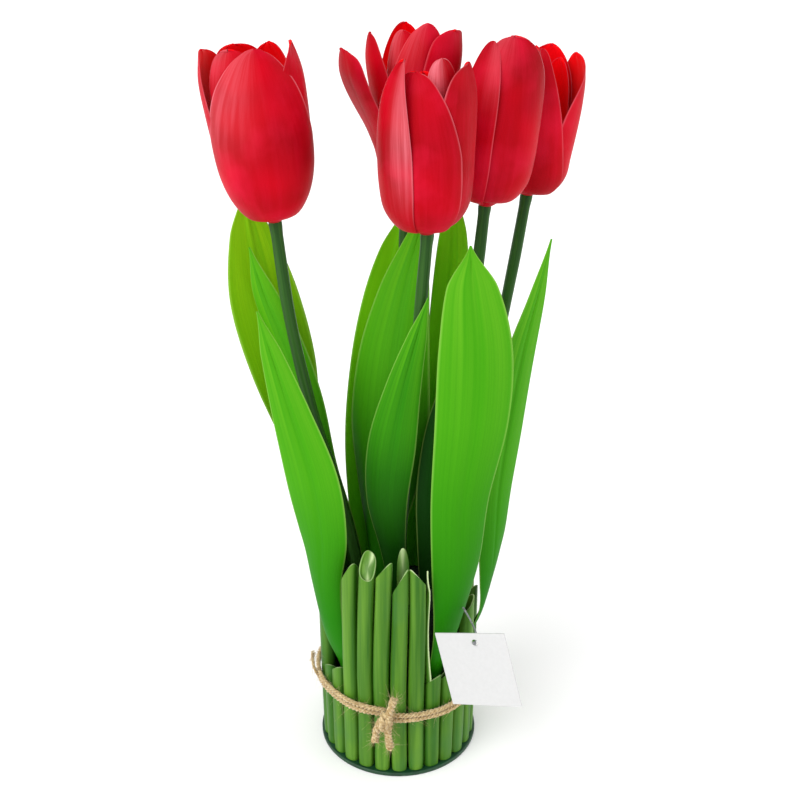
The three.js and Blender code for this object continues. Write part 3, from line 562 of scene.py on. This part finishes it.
# A petal's middle surface: it bends round the head's profile by an angle that grows with v. Its width
# shrinks to the tip as (1 - t^a)^b, skew moves the tip to one side, a larger bend makes it flatter, and
# all of it leans out along its own direction by flare, or in where that is negative. A shallow groove runs
# up its middle, and slow waves and dents move it in and out.
def petalPoint(tulip, own, seed):
    rng = np.random.default_rng(seed)
    phase, beat, fold = rng.uniform(0, 6.28, 3), rng.uniform(7, 11), rng.uniform(-0.4, 0.4)
    turn, half = math.radians(own["at"]), math.radians(own["half"])
    widest = own.get("widest", petal["widest"])

    def point(u, v):
        height = along(petal["heights"], u) * tulip["height"] * own["length"] + petal["lift"] * own["inset"]
        flare = own["open"] * smooth(u, 0.2, 1) ** 1.5
        radius = along(tulip.get("radii", petal["radii"]), u) * (tulip["radius"] - own["inset"])
        tip = np.clip((u - widest) / (1 - widest), 0, 1)
        above = np.maximum(1 - tip ** own["tip"][0], 0) ** own["tip"][1]
        shape = (0.84 + 0.16 * smooth(u, 0.05, 0.42)) * above
        spread = np.maximum(half * shape, 0.02)
        bend = np.maximum(np.maximum(radius, petal["bend"]), own.get("bend", 0) * smooth(u, 0.1, 0.8))
        angle = (spread * v + half * own["skew"] * (1 - above)) * np.minimum(radius + 2, bend) / bend
        out = radius - bend + bend * np.cos(angle) + own["lap"] * v * smooth(u, -0.05, 0.2) * shape
        grown = smooth(u, 0.15, 0.6)
        groove = -petal["groove"] * bump(v, 0.3 * fold, petal["grooveWidth"]) * grown * (1 - 0.5 * u)
        wave = petal["wave"] * np.abs(v) ** 3 * np.sin(beat * u + phase[0] + np.sign(v)) * grown
        dent = petal["dent"] * np.sin(3.1 * v + phase[1]) * np.sin(6 * u + phase[2]) * grown
        out = out + groove + wave + dent
        side = bend * np.sin(angle)
        return np.stack([
            (out + flare) * math.cos(turn) - side * math.sin(turn),
            (out + flare) * math.sin(turn) + side * math.cos(turn),
            height + petal["ripple"] * np.sin(9 * v + phase[1]) * smooth(u, 0.8, 1),
        ], -1)

    return point


def makeBloom(name, tulip, material, seed):
    chunks = []
    thickness = lambda u, v: petal["thickness"] - (petal["thickness"] - petal["rim"]) * np.abs(v) ** 4
    for number, own in enumerate(tulip["petals"]):
        # Pale value: a pale rim, and a painted highlight on the petals that have one
        paintedHighlight, low, side = own.get("paintedHighlight", (0, 0.7, -1))
        edge = own.get("edge", petal["plainEdge"])
        pale = lambda u, v: np.maximum(edge * smooth(np.abs(v), 0.982, 1) * smooth(u, 0.15, 0.4),
                                       paintedHighlight * smooth(u, low, low + 0.45) * smooth(side * v, -0.3, 0.8))
        point = petalPoint(tulip, own, seed * 10 + number)
        chunks.append(sheetChunk(point, thickness, petal["rows"], petal["cols"], pale,
                                 closer=petal["closer"], inner=petal["paintedGlowAmount"]))
    r, z = np.asarray(petal["cup"], float).T
    t = np.linspace(0, 1, 4 * len(r))
    chunks.append(turnedChunk(np.maximum(along(r, t), 0.01), along(z, t), 32))
    axis = Vector(tulip["axis"]).normalized()
    turned = np.array(Vector((0, 0, 1)).rotation_difference(axis).to_matrix())
    place = np.array(tulip["stem"][-1], float) + np.array(axis) * petal["seat"]
    for chunk in chunks:
        chunk["verts"] = chunk["verts"] @ turned.T + place
    addPiece("tulipHead_" + name, chunks, material, ["bloom_" + name])


def makeStem(name, tulip, material):
    t = np.linspace(0, 1, stem["rows"])
    radius = stem["radius"] * (1 + 0.1 * smooth(t, 0.975, 1) + 0.02 * np.sin(31 * t))
    path = route(tulip["stem"], t)
    path = np.vstack([path, path[-1] + unit(path[-1] - path[-2]) * stem["into"]])  # up into the head
    chunk = tubeChunk(path, np.append(radius, stem["radius"]), stem["sides"])
    addPiece("tulipStem_" + name, [chunk], material, ["stem_" + name])


# Leaves. Spread evenly along its spine, half gives a blade's half width, curl the half angle of its
# channel, and facing the direction that its outer face looks in. Some looks are painted shade and some
# painted light shining through.

leaves = dict(
    front_left=dict(
        spine=[(-27, -18.6, 34), (-27.4, -19, 50), (-34.2, -21, 72), (-38.5, -22, 105), (-38.5, -25.5, 135),
               (-42, -28, 168), (-51, -26, 204), (-59, -24, 234), (-64.3, -22, 253)],
        half=[7, 7.5, 8.3, 9.8, 13.2, 13.6, 9.5, 4.8, 0.4],
        curl=[9, 30, 40, 22, 14, 10], facing=[214, 222, 240, 256, 262, 262], look="mid"),
    front_right=dict(
        spine=[(19.8, -26, 34), (20.1, -26.6, 52), (26.6, -31.6, 84), (30, -31.5, 120), (31, -30, 158),
               (35.5, -27, 200), (36, -25, 235), (33.5, -23, 265), (32.4, -22, 284)],
        half=[4.8, 5.4, 9.4, 13.6, 15.2, 18.2, 17.4, 11.5, 0.4],
        curl=[8, 40, 36, 22, 15, 12], facing=[307, 312, 290, 278, 272, 270], look="mid"),
    centre_front=dict(
        spine=[(1, -15, 60), (0, -15, 92), (-3, -14.5, 120), (-6, -14.5, 150), (-3.5, -14.5, 180),
               (2.5, -14.5, 212), (9, -14.5, 238), (14, -15, 257)],
        half=[4.5, 5, 7, 11, 12.2, 8.5, 4.4, 0.4],
        curl=[60, 48, 30, 18, 12], facing=[262, 262], look="deep"),
    centre_left=dict(
        spine=[(-8, -2, 60), (-9, -1, 92), (-9, 0, 122), (-7.5, 3, 152), (-6, 6, 182), (-3, 9, 218),
               (3, 12, 252), (9, 14.5, 276), (13, 16, 294)],
        half=[5, 7, 12, 18.5, 21.5, 18.5, 12.5, 6, 0.4],
        curl=[70, 55, 32, 20, 14], facing=[250, 255], look="fresh"),
    centre_shade=dict(
        spine=[(16, -11, 60), (17, -10, 92), (18.5, -9, 122), (20, -7, 152), (22, -5, 182), (25, -4, 206),
               (28, -3, 226)],
        half=[4.5, 6, 9, 11, 9, 5, 0.4],
        curl=[60, 48, 30, 18, 12], facing=[285, 280], look="paintedShade"),
    back_centre=dict(
        spine=[(7, 12, 60), (8, 13, 92), (12, 16, 128), (19, 21, 170), (23.5, 25, 212), (26, 28, 248),
               (27, 30, 276), (27, 31, 298)],
        half=[5, 6, 8, 9, 9.5, 9, 6.5, 0.4],
        curl=[60, 48, 30, 18, 12], facing=[80, 85], look="paintedBacklitBack"),
    back_left=dict(
        spine=[(-14, 14, 60), (-16, 16, 92), (-17, 20, 128), (-15.5, 25, 168), (-11, 31, 208), (-6, 36, 240),
               (-1, 40, 264), (4, 43, 285)],
        half=[5, 7, 10.5, 13.5, 14, 12, 8, 0.4],
        curl=[60, 48, 30, 18, 12], facing=[100, 95], look="paintedBacklitBack"),
    left_outer=dict(
        spine=[(-32.1, 5.5, 40), (-32.6, 5.6, 82), (-34.6, 6, 116), (-42.5, 10, 144), (-51, 15, 174),
               (-59, 18, 212), (-67, 21, 248), (-71.5, 22.5, 278), (-74, 23, 298)],
        half=[4.6, 5.2, 6.4, 10, 13, 17.6, 17, 10, 0.4],
        curl=[8, 9, 30, 22, 15, 12], facing=[170, 168, 145, 120, 110, 108], look="paintedBacklitOuter"),
    left_inner=dict(
        spine=[(-20, 10, 60), (-21.5, 9.8, 92), (-27.5, 8.2, 122), (-37, 8.4, 156), (-46.5, 9.5, 195),
               (-57, 9.5, 228), (-65, 9.5, 252), (-70.3, 9, 274)],
        half=[3.6, 4.4, 6, 7.5, 10, 9.8, 6.5, 0.4],
        curl=[60, 48, 30, 18, 12], facing=[215, 225, 240, 250], look="fresh"),
    right=dict(
        spine=[(32.3, -4.8, 40), (32.6, -5, 54), (43.4, -6, 78), (48, -6.6, 101), (49.6, -6.4, 122),
               (50.6, -4.5, 150), (54.4, -2, 184), (60, 1.5, 222), (66.7, 4.5, 252), (72, 6, 279)],
        half=[4, 3.6, 3.5, 8, 9.4, 10.4, 10.8, 9.5, 5, 0.4],
        curl=[8, 30, 34, 20, 15, 12], facing=[351, 349, 318, 302, 304, 306], look="mid"),
)
blade = dict(thickness=0.9, rim=0.4, narrowest=0.4, groove=0.5, grooveWidth=0.09, wave=0.55,
             rows=120, cols=29, closer=1.15, paleRim=0.35)


# A leaf's middle surface: an arc across the spine whose edges bend inwards, with a groove along the
# middle and slow waves towards the edges
def leafPoint(leaf, seed):
    rng = np.random.default_rng(seed)
    beat, phase = rng.uniform(9, 14, 2), rng.uniform(0, 6.28, 2)

    def point(t, v):
        spine = route(leaf["spine"], t)
        tangent = heading(leaf["spine"], t)
        angle = np.radians(along(leaf["facing"], t))
        out = np.stack([np.cos(angle), np.sin(angle), np.zeros_like(angle)], -1)
        wide = unit(np.cross(tangent, out))
        out = unit(np.cross(wide, tangent))
        half = np.maximum(along(leaf["half"], t), blade["narrowest"])
        curl = np.radians(along(leaf["curl"], t))
        reach = half / curl
        free = smooth(t, 0.3, 0.5) * np.minimum(half / 6, 1)
        groove = blade["groove"] * bump(v, 0, blade["grooveWidth"]) * free
        lift = -reach * (1 - np.cos(curl * v)) - groove
        edge = np.where(v < 0, np.sin(beat[0] * t + phase[0]), np.sin(beat[1] * t + phase[1]))
        lift = lift + blade["wave"] * np.abs(v) ** 2.5 * edge * free
        return spine + wide * (reach * np.sin(curl * v))[..., None] + out * lift[..., None]

    return point


def makeLeaf(name, leaf, material, seed):
    thickness = lambda u, v: blade["thickness"] - (blade["thickness"] - blade["rim"]) * np.abs(v) ** 3
    rim = lambda u, v: blade["paleRim"] * smooth(np.abs(v), 0.985, 1)
    point = leafPoint(leaf, seed)
    chunk = sheetChunk(point, thickness, blade["rows"], blade["cols"], rim, closer=blade["closer"])
    addPiece("longLeaf_" + name, [chunk], material, ["leaf_" + name])


# The ring of cut stalks

ring = dict(count=27, radius=37.7, deep=3.8, wide=4.22, flare=0.011, lowest=107, foot=2.5,
            frontAngle=270.5, frontStalk=14, wall=0.85, hollow=14, sides=40, rows=60, crease=0.05,
            creaseWidth=0.13, sway=0.25, sheathStalk=16, whiteRimStalk=15, closedStalk=12, closedHollow=1.5)
cuts = {  # height, rise across, rise to the back, lean
    9: (50, 6, -6, 0), 10: (54, 7, -6, 0), 11: (117, 16, -7, 0.02), 12: (126, -3, 13, 0.035),
    13: (124, 11, -6, 0.025), 14: (118, 15, -7, 0.01), 15: (120, -11, -5, 0), 16: (56, 3, -7, 0),
    17: (57, 5, -7, 0), 18: (64, 12, -5, 0), 19: (90, 6, -6, -0.01), 20: (52, -6, -6, 0),
    21: (86, -8, -6, 0.01),
}


def chance(n):  # a repeatable random number from 0 to 1 for each whole number
    s = math.sin(n * 12.9898 + 4.1414) * 43758.5453
    return s - math.floor(s)


def stalkCut(number):  # where a stalk has none of its own, chance sets it
    if number in cuts:
        return cuts[number]
    return (ring["lowest"] + 8 * chance(number), 22 * (chance(number + 40) - 0.5),
            -8 * chance(number + 80), 0.02 * (chance(number + 120) - 0.5))


def stalkTurn(number):
    return math.radians(ring["frontAngle"] + (number - ring["frontStalk"]) * 360 / ring["count"])


# A place in the ring: wide along it and deep outwards from the middle of the stalk at turn, at height z
def inRing(turn, wide, deep, z):
    out = ring["radius"] + ring["flare"] * z + deep
    side = turn + wide / ring["radius"]
    return np.stack([out * np.cos(side), out * np.sin(side), z], -1)


# A stalk's wall: a rounded square section carried up to a slanted cut, then over its pale rim and down
# the hollow inside. It sways a little on its way up and has a crease down one side, outside only. The
# closed stalk is hardly hollow, and a narrow whitish strip crosses its cut.
def stalkChunk(number):
    height, across, back, lean = stalkCut(number)
    turn = stalkTurn(number)
    plump = 1 - 0.05 * chance(number + 160)
    seam = 2 * np.pi * chance(number + 200)
    rows = ring["rows"]
    a = np.linspace(0, 2 * np.pi, ring["sides"], endpoint=False)[None, :]
    squared = lambda value: np.sign(value) * np.abs(value) ** 0.8
    wide = -plump * squared(np.sin(a))
    deep = -squared(np.cos(a))
    top = height + across * wide / 2 - back * deep / 2

    def wall(z, inset, level):
        swell = 1 - 0.04 * smooth(z, 60, 120) - 0.05 * (1 - smooth(z, 2, 9)) - inset
        away = np.angle(np.exp(1j * (a - seam)))  # from the seam, within half a turn
        crease = 1 - ring["crease"] * bump(away, 0, ring["creaseWidth"]) * (1 - level)
        leant = lean * np.maximum(z - 60, 0) + ring["sway"] * np.sin(z / 17 + number)
        size = swell * crease
        return inRing(turn, ring["wide"] * wide * size + leant, ring["deep"] * deep * size, z)

    share = np.linspace(0, 1, rows)[:, None] ** 0.9
    outside = wall(ring["foot"] + (top - ring["foot"]) * share, 0, 0)
    thin = ring["wall"] / ring["deep"]
    lip = [wall(top + 0.12, thin * k, 1) for k in (0.25, 0.75)]
    hollow = ring["closedHollow"] if number == ring["closedStalk"] else ring["hollow"]
    levels = np.array([0.0, 0.25, 0.6, 1.0])[:, None]
    inside = [wall(top - 0.1 - hollow * s, thin * (1 + 0.15 * s), 1) for s in levels]
    points = np.concatenate([outside, *lip, *inside], 0)
    pale = np.zeros(points.shape[:2])
    pale[rows:rows + len(lip)] = 0.9 if number == ring["whiteRimStalk"] else 0.4
    if number == ring["closedStalk"]:
        pale[rows + 1:] = 0.9 * bump(np.sin(a), -0.35, 0.3)
    return gridChunk(points, pale)


def sheathChunk():  # a strip of one short stalk's left wall that rises behind its cut
    form = dict(foot=48, top=117, radius=3.3, thickness=0.7, rows=40, cols=13)
    turn = stalkTurn(ring["sheathStalk"])

    def point(u, v):
        z = form["foot"] + (form["top"] - form["foot"]) * u - 5 * u * v
        around = np.radians(180 - (62 - 34 * u) * v)
        bulge = 1.1 * np.sin(np.pi * np.clip(u * 1.25 - 0.15, 0, 1))
        return inRing(turn, form["radius"] * np.cos(around) - bulge, form["radius"] * np.sin(around), z)

    rim = lambda u, v: np.maximum(smooth(np.abs(v), 0.8, 0.95), smooth(u, 0.97, 1))
    return sheetChunk(point, lambda u, v: np.full_like(u, form["thickness"]), form["rows"], form["cols"], rim)


def makeStalks(material):
    for number in range(1, ring["count"] + 1):
        chunks = [stalkChunk(number)]
        if number == ring["sheathStalk"]:
            chunks.append(sheathChunk())
        name = "%02d" % number
        addPiece("cutStalk_" + name, chunks, material, ["stalk_" + name])


# The stalk inside the ring: a round one, whose steep cut with a pale middle faces the front
def makeInnerStalk(material):
    form = dict(at=(2.4, -24), radius=3.1, face=0.75, foot=60, low=103, high=127, sunk=0.4, sides=32, rows=30)
    a = np.linspace(0, 2 * np.pi, form["sides"], endpoint=False)[None, :]
    share = np.linspace(0, 1, form["rows"])[:, None]
    back = (1 + np.sin(a)) / 2
    top = form["low"] + (form["high"] - form["low"]) * back

    def circles(size, height):
        x = form["at"][0] + size * np.cos(a) * np.ones_like(height)
        y = form["at"][1] + size * np.sin(a) * np.ones_like(height)
        return np.stack([x, y, height], -1)

    wall = circles(form["radius"], form["foot"] + (top - form["foot"]) * share)
    face = circles(form["radius"] * form["face"], top - form["sunk"])
    points = np.concatenate([wall, face], 0)
    pale = np.zeros(points.shape[:2])
    pale[-2:] = 0.8 * bump(np.cos(a), -0.1, 0.5)
    addPiece("innerStalk", [gridChunk(points, pale)], material, ["inner_stalk"])


# Base and twine


def makeBase(material):
    form = dict(radius=42.5, thickness=2.2, round=0.5, sides=160)
    r, h, b = form["radius"], form["thickness"], form["round"]
    arc = np.linspace(0, np.pi / 2, 5)
    low = [(r - b + b * math.sin(t), b - b * math.cos(t)) for t in arc]
    high = [(r - b + b * math.cos(t), h - b + b * math.sin(t)) for t in arc]
    radii, heights = np.array([(r * 0.5, 0)] + low + high + [(r * 0.5, h)]).T
    addPiece("baseDisc", [turnedChunk(radii, heights, form["sides"])], material, ["base_disc"])


twine = dict(radius=1.25, height=41, pitch=2.9, turns=2, ring=43.7, slant=1, knotAngle=-98.5,
             twist=6.5, plies=3, plySides=7, plySize=0.56, plyPlace=0.5, fibre=0.07, rows=1300,
             riseAndFall=0.25, inAndOut=0.15)


# Plies of a cord: each winds round the path at the cord's twist, at just over half the cord's radius
def plyChunks(path, radius, seed, fray=0.0):
    rng = np.random.default_rng(seed)
    step = np.linalg.norm(np.diff(path, axis=0), axis=1)
    run = np.concatenate([[0], np.cumsum(step)])
    direction = unit(np.gradient(path, axis=0))
    side = unit(np.cross(direction, [0.03, 0.02, 1.0]))
    up = np.cross(side, direction)
    flare = 1 + fray * smooth(run / run[-1], 0.7, 1)
    chunks = []
    for ply in range(twine["plies"]):
        turn = 2 * np.pi * (run / twine["twist"] + ply / twine["plies"])
        off = twine["plyPlace"] * radius * flare * (1 + 0.12 * np.sin(run / 5 + rng.uniform(0, 6)))
        centre = path + (side * np.cos(turn)[:, None] + up * np.sin(turn)[:, None]) * off[:, None]
        size = twine["plySize"] * radius * (1 + 0.08 * np.sin(run / 3 + rng.uniform(0, 6)))
        a = np.linspace(0, 2 * np.pi, twine["plySides"], endpoint=False)
        spoke = side[:, None] * np.cos(a)[None, :, None] + up[:, None] * np.sin(a)[None, :, None]
        chunks.append(gridChunk(centre[:, None] + spoke * size[:, None, None]))
    return chunks


# Fibres that stand off a cord: most lie along it one way or the other, bent outwards
def strayFibres(path, radius, count, seed, length=(2.5, 6)):
    rng = np.random.default_rng(seed)
    direction = unit(np.gradient(path, axis=0))
    pick = rng.integers(1, len(path) - 1, count)
    outward = unit(rng.normal(size=(count, 3)))
    outward = unit(outward - direction[pick] * np.sum(outward * direction[pick], 1)[:, None])
    way = rng.choice([-1, 1], count)[:, None]
    lying = unit(direction[pick] * way + outward * rng.uniform(0.15, 0.9, (count, 1)))
    bend = outward * rng.uniform(-0.2, 0.7, (count, 1)) + rng.normal(0, 0.35, (count, 3))
    starts = path[pick] + outward * radius * 0.8
    return hairChunk(starts, lying, bend, rng.uniform(*length, count), twine["fibre"])


def makeTwine(material):
    t = np.linspace(0, 1, twine["rows"])
    turn = np.radians(twine["knotAngle"] + twine["turns"] * 360 * t)
    z = twine["height"] + twine["pitch"] * twine["turns"] * (t - 0.5) - twine["slant"] * np.cos(turn)
    z = z + twine["riseAndFall"] * np.sin(7 * turn + 1) * np.sin(np.pi * t)
    out = twine["ring"] + twine["inAndOut"] * np.sin(11 * turn)
    path = np.stack([out * np.cos(turn), out * np.sin(turn), z], -1)
    chunks = plyChunks(path, twine["radius"], seed=3)
    chunks.append(strayFibres(path, twine["radius"], count=420, seed=5))
    left = [(-42.4, -11.5, 41), (-44.6, -11.8, 46), (-45.6, -12, 52), (-45.2, -12.4, 58)]
    tail = route(left, np.linspace(0, 1, 40))  # a thinner frayed end that stands up on the left
    chunks += plyChunks(tail, 0.8, seed=9, fray=0.8)
    chunks.append(strayFibres(tail, 0.9, count=90, seed=11, length=(2, 5)))
    addPiece("juteTwine", chunks, material, ["twine"])


# The knot: three cut ends with tufted tips, and two hoops of the cord over the strands
def makeKnot(material):
    form = dict(
        ends=[
            [(-6.5, -48.2, 40), (-4.4, -48.6, 47), (-2, -48.3, 55)],
            [(-6, -48.6, 41), (-5, -49.4, 33), (-4.2, -48.6, 24.5)],
            [(-8.5, -48, 41.5), (-11, -48.2, 35.5), (-11.8, -47.4, 28)]],
        endRadius=1.95, hoops=[-8.6, -5.6], hoopRadius=1.6, middle=(-47.6, 40.6), deep=2.4, tall=4.3,
        bulge=1.3)
    chunks = []
    for number, end in enumerate(form["ends"]):
        path = route(end, np.linspace(0, 1, 46))
        chunks += plyChunks(path, form["endRadius"], seed=20 + number, fray=0.25)
        chunks.append(strayFibres(path, 2.0, count=60, seed=30 + number))
        chunks.append(strayFibres(path[-6:], 1.2, count=50, seed=40 + number, length=(2, 5)))
    a = np.linspace(-0.6, 2 * np.pi - 0.4, 60)
    y, z = form["middle"]
    for x in form["hoops"]:
        bulge, deep, tall = form["bulge"] * np.sin(a / 2), form["deep"] * np.cos(a), form["tall"] * np.sin(a)
        hoop = np.stack([x + bulge, y - deep, z + tall], -1)
        chunks += plyChunks(hoop, form["hoopRadius"], seed=50 + int(-x))
        chunks.append(strayFibres(hoop, form["hoopRadius"], count=50, seed=60 + int(-x)))
    addPiece("twineKnot", chunks, material, ["twine_knot"])


# Everything

aimCamera()
lightStudio()
print("stage: camera and lights")

petalLook = petalMaterial()
stemLook = stemMaterial()
for seed, (name, tulip) in enumerate(tulips.items()):
    makeBloom(name, tulip, petalLook, seed)
    makeStem(name, tulip, stemLook)
print("stage: tulips")

# Leaf looks: mid and fresh are the leaves' own greens. Deep is a darker copy and the darkest is near black,
# both painted shade; the two lightest, yellowest copies are painted light shining through the leaves at the
# back and far left.
leafLooks = dict(
    mid=leafMaterial("satinLeafMid", "#1e7200", "#3e9408", "#60a81c"),
    deep=leafMaterial("satinLeafPaintedShadeDeep", "#0c3c02", "#2a7c06", "#55a612"),
    fresh=leafMaterial("satinLeafFresh", "#1d6402", "#42960c", "#5ca60c"),
    paintedBacklitOuter=leafMaterial("satinLeafPaintedBacklitOuter", "#3c8a02", "#6cac04", "#86bc08"),
    paintedBacklitBack=leafMaterial("satinLeafPaintedBacklitBack", "#48a604", "#6cc20a", "#80cc12"),
    paintedShade=leafMaterial("satinLeafPaintedShade", "#0a2e04", "#0e4206", "#1e5a0c"),
)
for seed, (name, leaf) in enumerate(leaves.items()):
    makeLeaf(name, leaf, leafLooks[leaf["look"]], 100 + seed)
print("stage: leaves")

stalkLook = stalkMaterial()
makeStalks(stalkLook)
makeInnerStalk(stalkLook)
makeBase(baseMaterial())
juteLook = juteMaterial()
makeTwine(juteLook)
makeKnot(juteLook)
print("stage: ring, base and twine")

# The core, the tag and its pin keep their solids' form and only get materials
for node, look in (("foam_core", foamMaterial()), ("hang_tag", cardMaterial()), ("tag_pin", pinMaterial())):
    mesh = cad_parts[node].data
    mesh.materials.clear()
    mesh.materials.append(look)

bpy.ops.mesh.primitive_plane_add(size=12, location=(0, 0, 0))
floor = bpy.context.object
floor.name = "studioFloor"
floor.data.materials.append(floorMaterial())
print("stage: floor")
